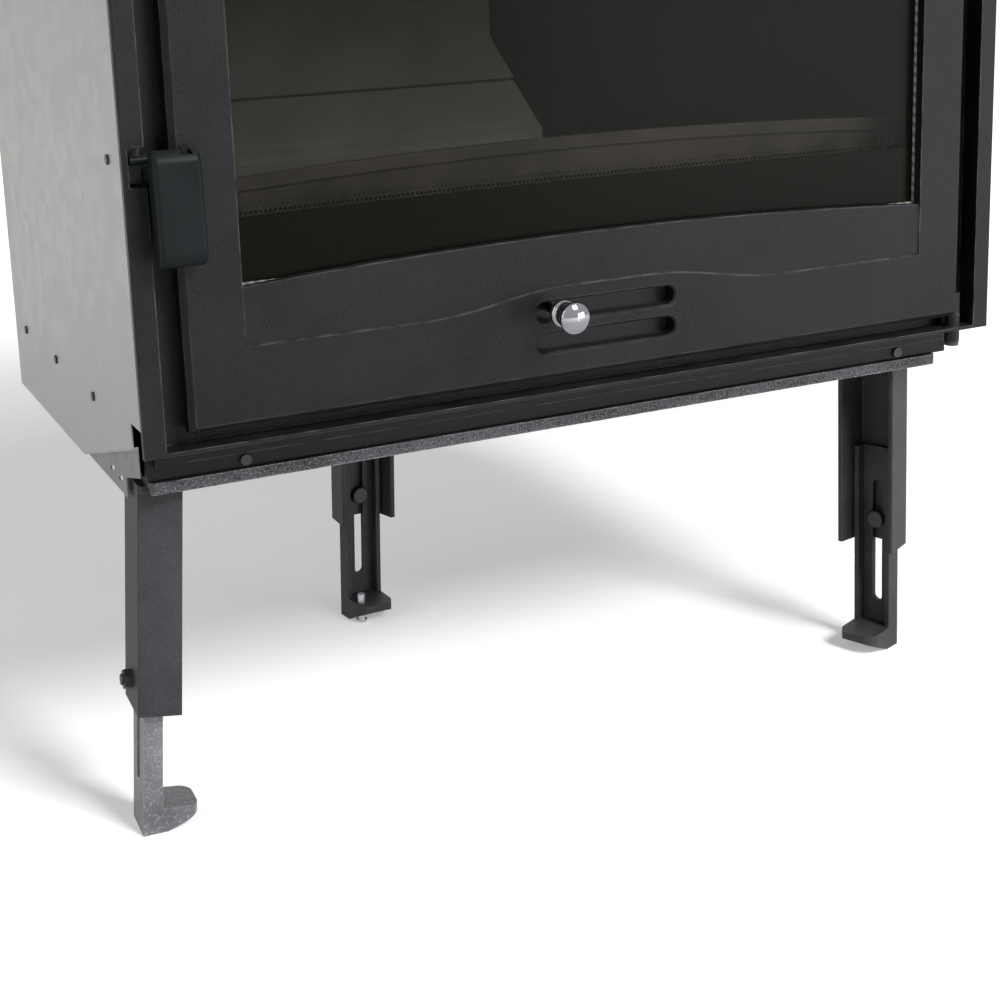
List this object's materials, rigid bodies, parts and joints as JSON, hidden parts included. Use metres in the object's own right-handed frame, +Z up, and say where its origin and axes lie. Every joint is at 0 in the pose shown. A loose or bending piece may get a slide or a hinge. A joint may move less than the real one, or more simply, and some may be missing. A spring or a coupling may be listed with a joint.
{
  "type": "fireplace insert",
  "caption": "Cast iron fireplace insert: framed glass door with drop handle and sliding air knob, sheet steel casing, flue collar and adjustable bracket legs.",
  "frame": {"origin": "on the floor under the middle of the bounding box", "axes": "+Z up, -Y the side of the door, +X to the right as seen from the front"},
  "size_m": [0.7131, 0.4766, 0.93],
  "materials": {
    "cast_black": "matt charcoal painted cast iron with a fine sand texture",
    "cast_rough": "raw rough cast iron, slightly shiny on its edges",
    "cast_leg": "dark grey rough cast iron",
    "galvanised": "pale galvanised sheet, dull, faint spangle",
    "chrome": "polished chrome",
    "steel_dark": "blackened steel",
    "zinc": "zinc plated steel",
    "fire_brick": "pale beige-grey refractory casting",
    "retainer": "heat-stained cast iron, tan-grey",
    "glass": "ceramic glass with a black printed band along its foot",
    "rope": "grey glass-fibre rope"
  },
  "bodies": {
    "insert": {"front_frame": "cast_black", "base_apron": "cast_black", "apron_screws": "steel_dark", "base_plate": "cast_rough", "base_box": "cast_black", "hearth_plate": "cast_black", "grate": "cast_black", "ash_pan": "galvanised", "pan_handle": "zinc", "log_retainer": "retainer", "fire_back_lower": "fire_brick", "fire_back_upper": "fire_brick", "firebox_back": "cast_black", "firebox_side_left": "cast_black", "firebox_side_right": "cast_black", "firebox_top": "cast_black", "baffle": "fire_brick", "flue_collar": "cast_black", "collar_screws": "zinc", "casing_left": "galvanised", "casing_right": "galvanised", "casing_rear": "galvanised", "casing_top": "galvanised", "casing_screws": "steel_dark", "leg_bracket_front_left": "cast_leg", "leg_bracket_front_right": "cast_leg", "leg_bracket_rear": "cast_leg", "leg_bolts": "steel_dark", "leg_nuts": "steel_dark", "leg_mount_bolts": "steel_dark", "hinge_pin_lower": "steel_dark", "hinge_pin_upper": "steel_dark", "latch_keeper": "steel_dark"},
    "door": {"door_frame": "cast_black", "door_glass": "glass", "glass_seal": "rope", "glass_clips": "zinc", "clip_screws": "zinc", "door_seal": "rope", "slider_guide": "steel_dark", "guide_screws": "zinc", "handle_pin": "zinc"},
    "handle": {"door_handle": "cast_black", "latch_cam": "steel_dark"},
    "air_control": {"air_shutter": "steel_dark", "knob_stem": "chrome", "air_knob": "chrome"},
    "left_foot": {"foot_front_left": "cast_leg"},
    "right_foot": {"foot_front_right": "cast_leg"},
    "rear_foot": {"foot_rear": "cast_leg", "levelling_screw": "zinc"}
  },
  "joints": [
    {"name": "door_swing", "type": "hinge", "parent": "insert", "child": "door", "pos_m": [0.32395, -0.18775, 0.57], "axis": [0, 0, 1], "range_deg": [0, 110]},
    {"name": "handle_pull", "type": "hinge", "parent": "door", "child": "handle", "pos_m": [-0.31505, -0.20625, 0.494], "axis": [-1, 0, 0], "range_deg": [0, 45]},
    {"name": "air_slide", "type": "slide", "parent": "door", "child": "air_control", "axis": [1, 0, 0], "range_m": [0, 0.092]},
    {"name": "left_foot_slide", "type": "slide", "parent": "insert", "child": "left_foot", "axis": [0.0741, 0, 0.9973], "range_m": [-0.022, 0.068]},
    {"name": "right_foot_slide", "type": "slide", "parent": "insert", "child": "right_foot", "axis": [-0.0157, 0, 0.9999], "range_m": [-0.022, 0.068]},
    {"name": "rear_foot_slide", "type": "slide", "parent": "insert", "child": "rear_foot", "axis": [0.0349, 0, 0.9994], "range_m": [-0.022, 0.068]}
  ]
}
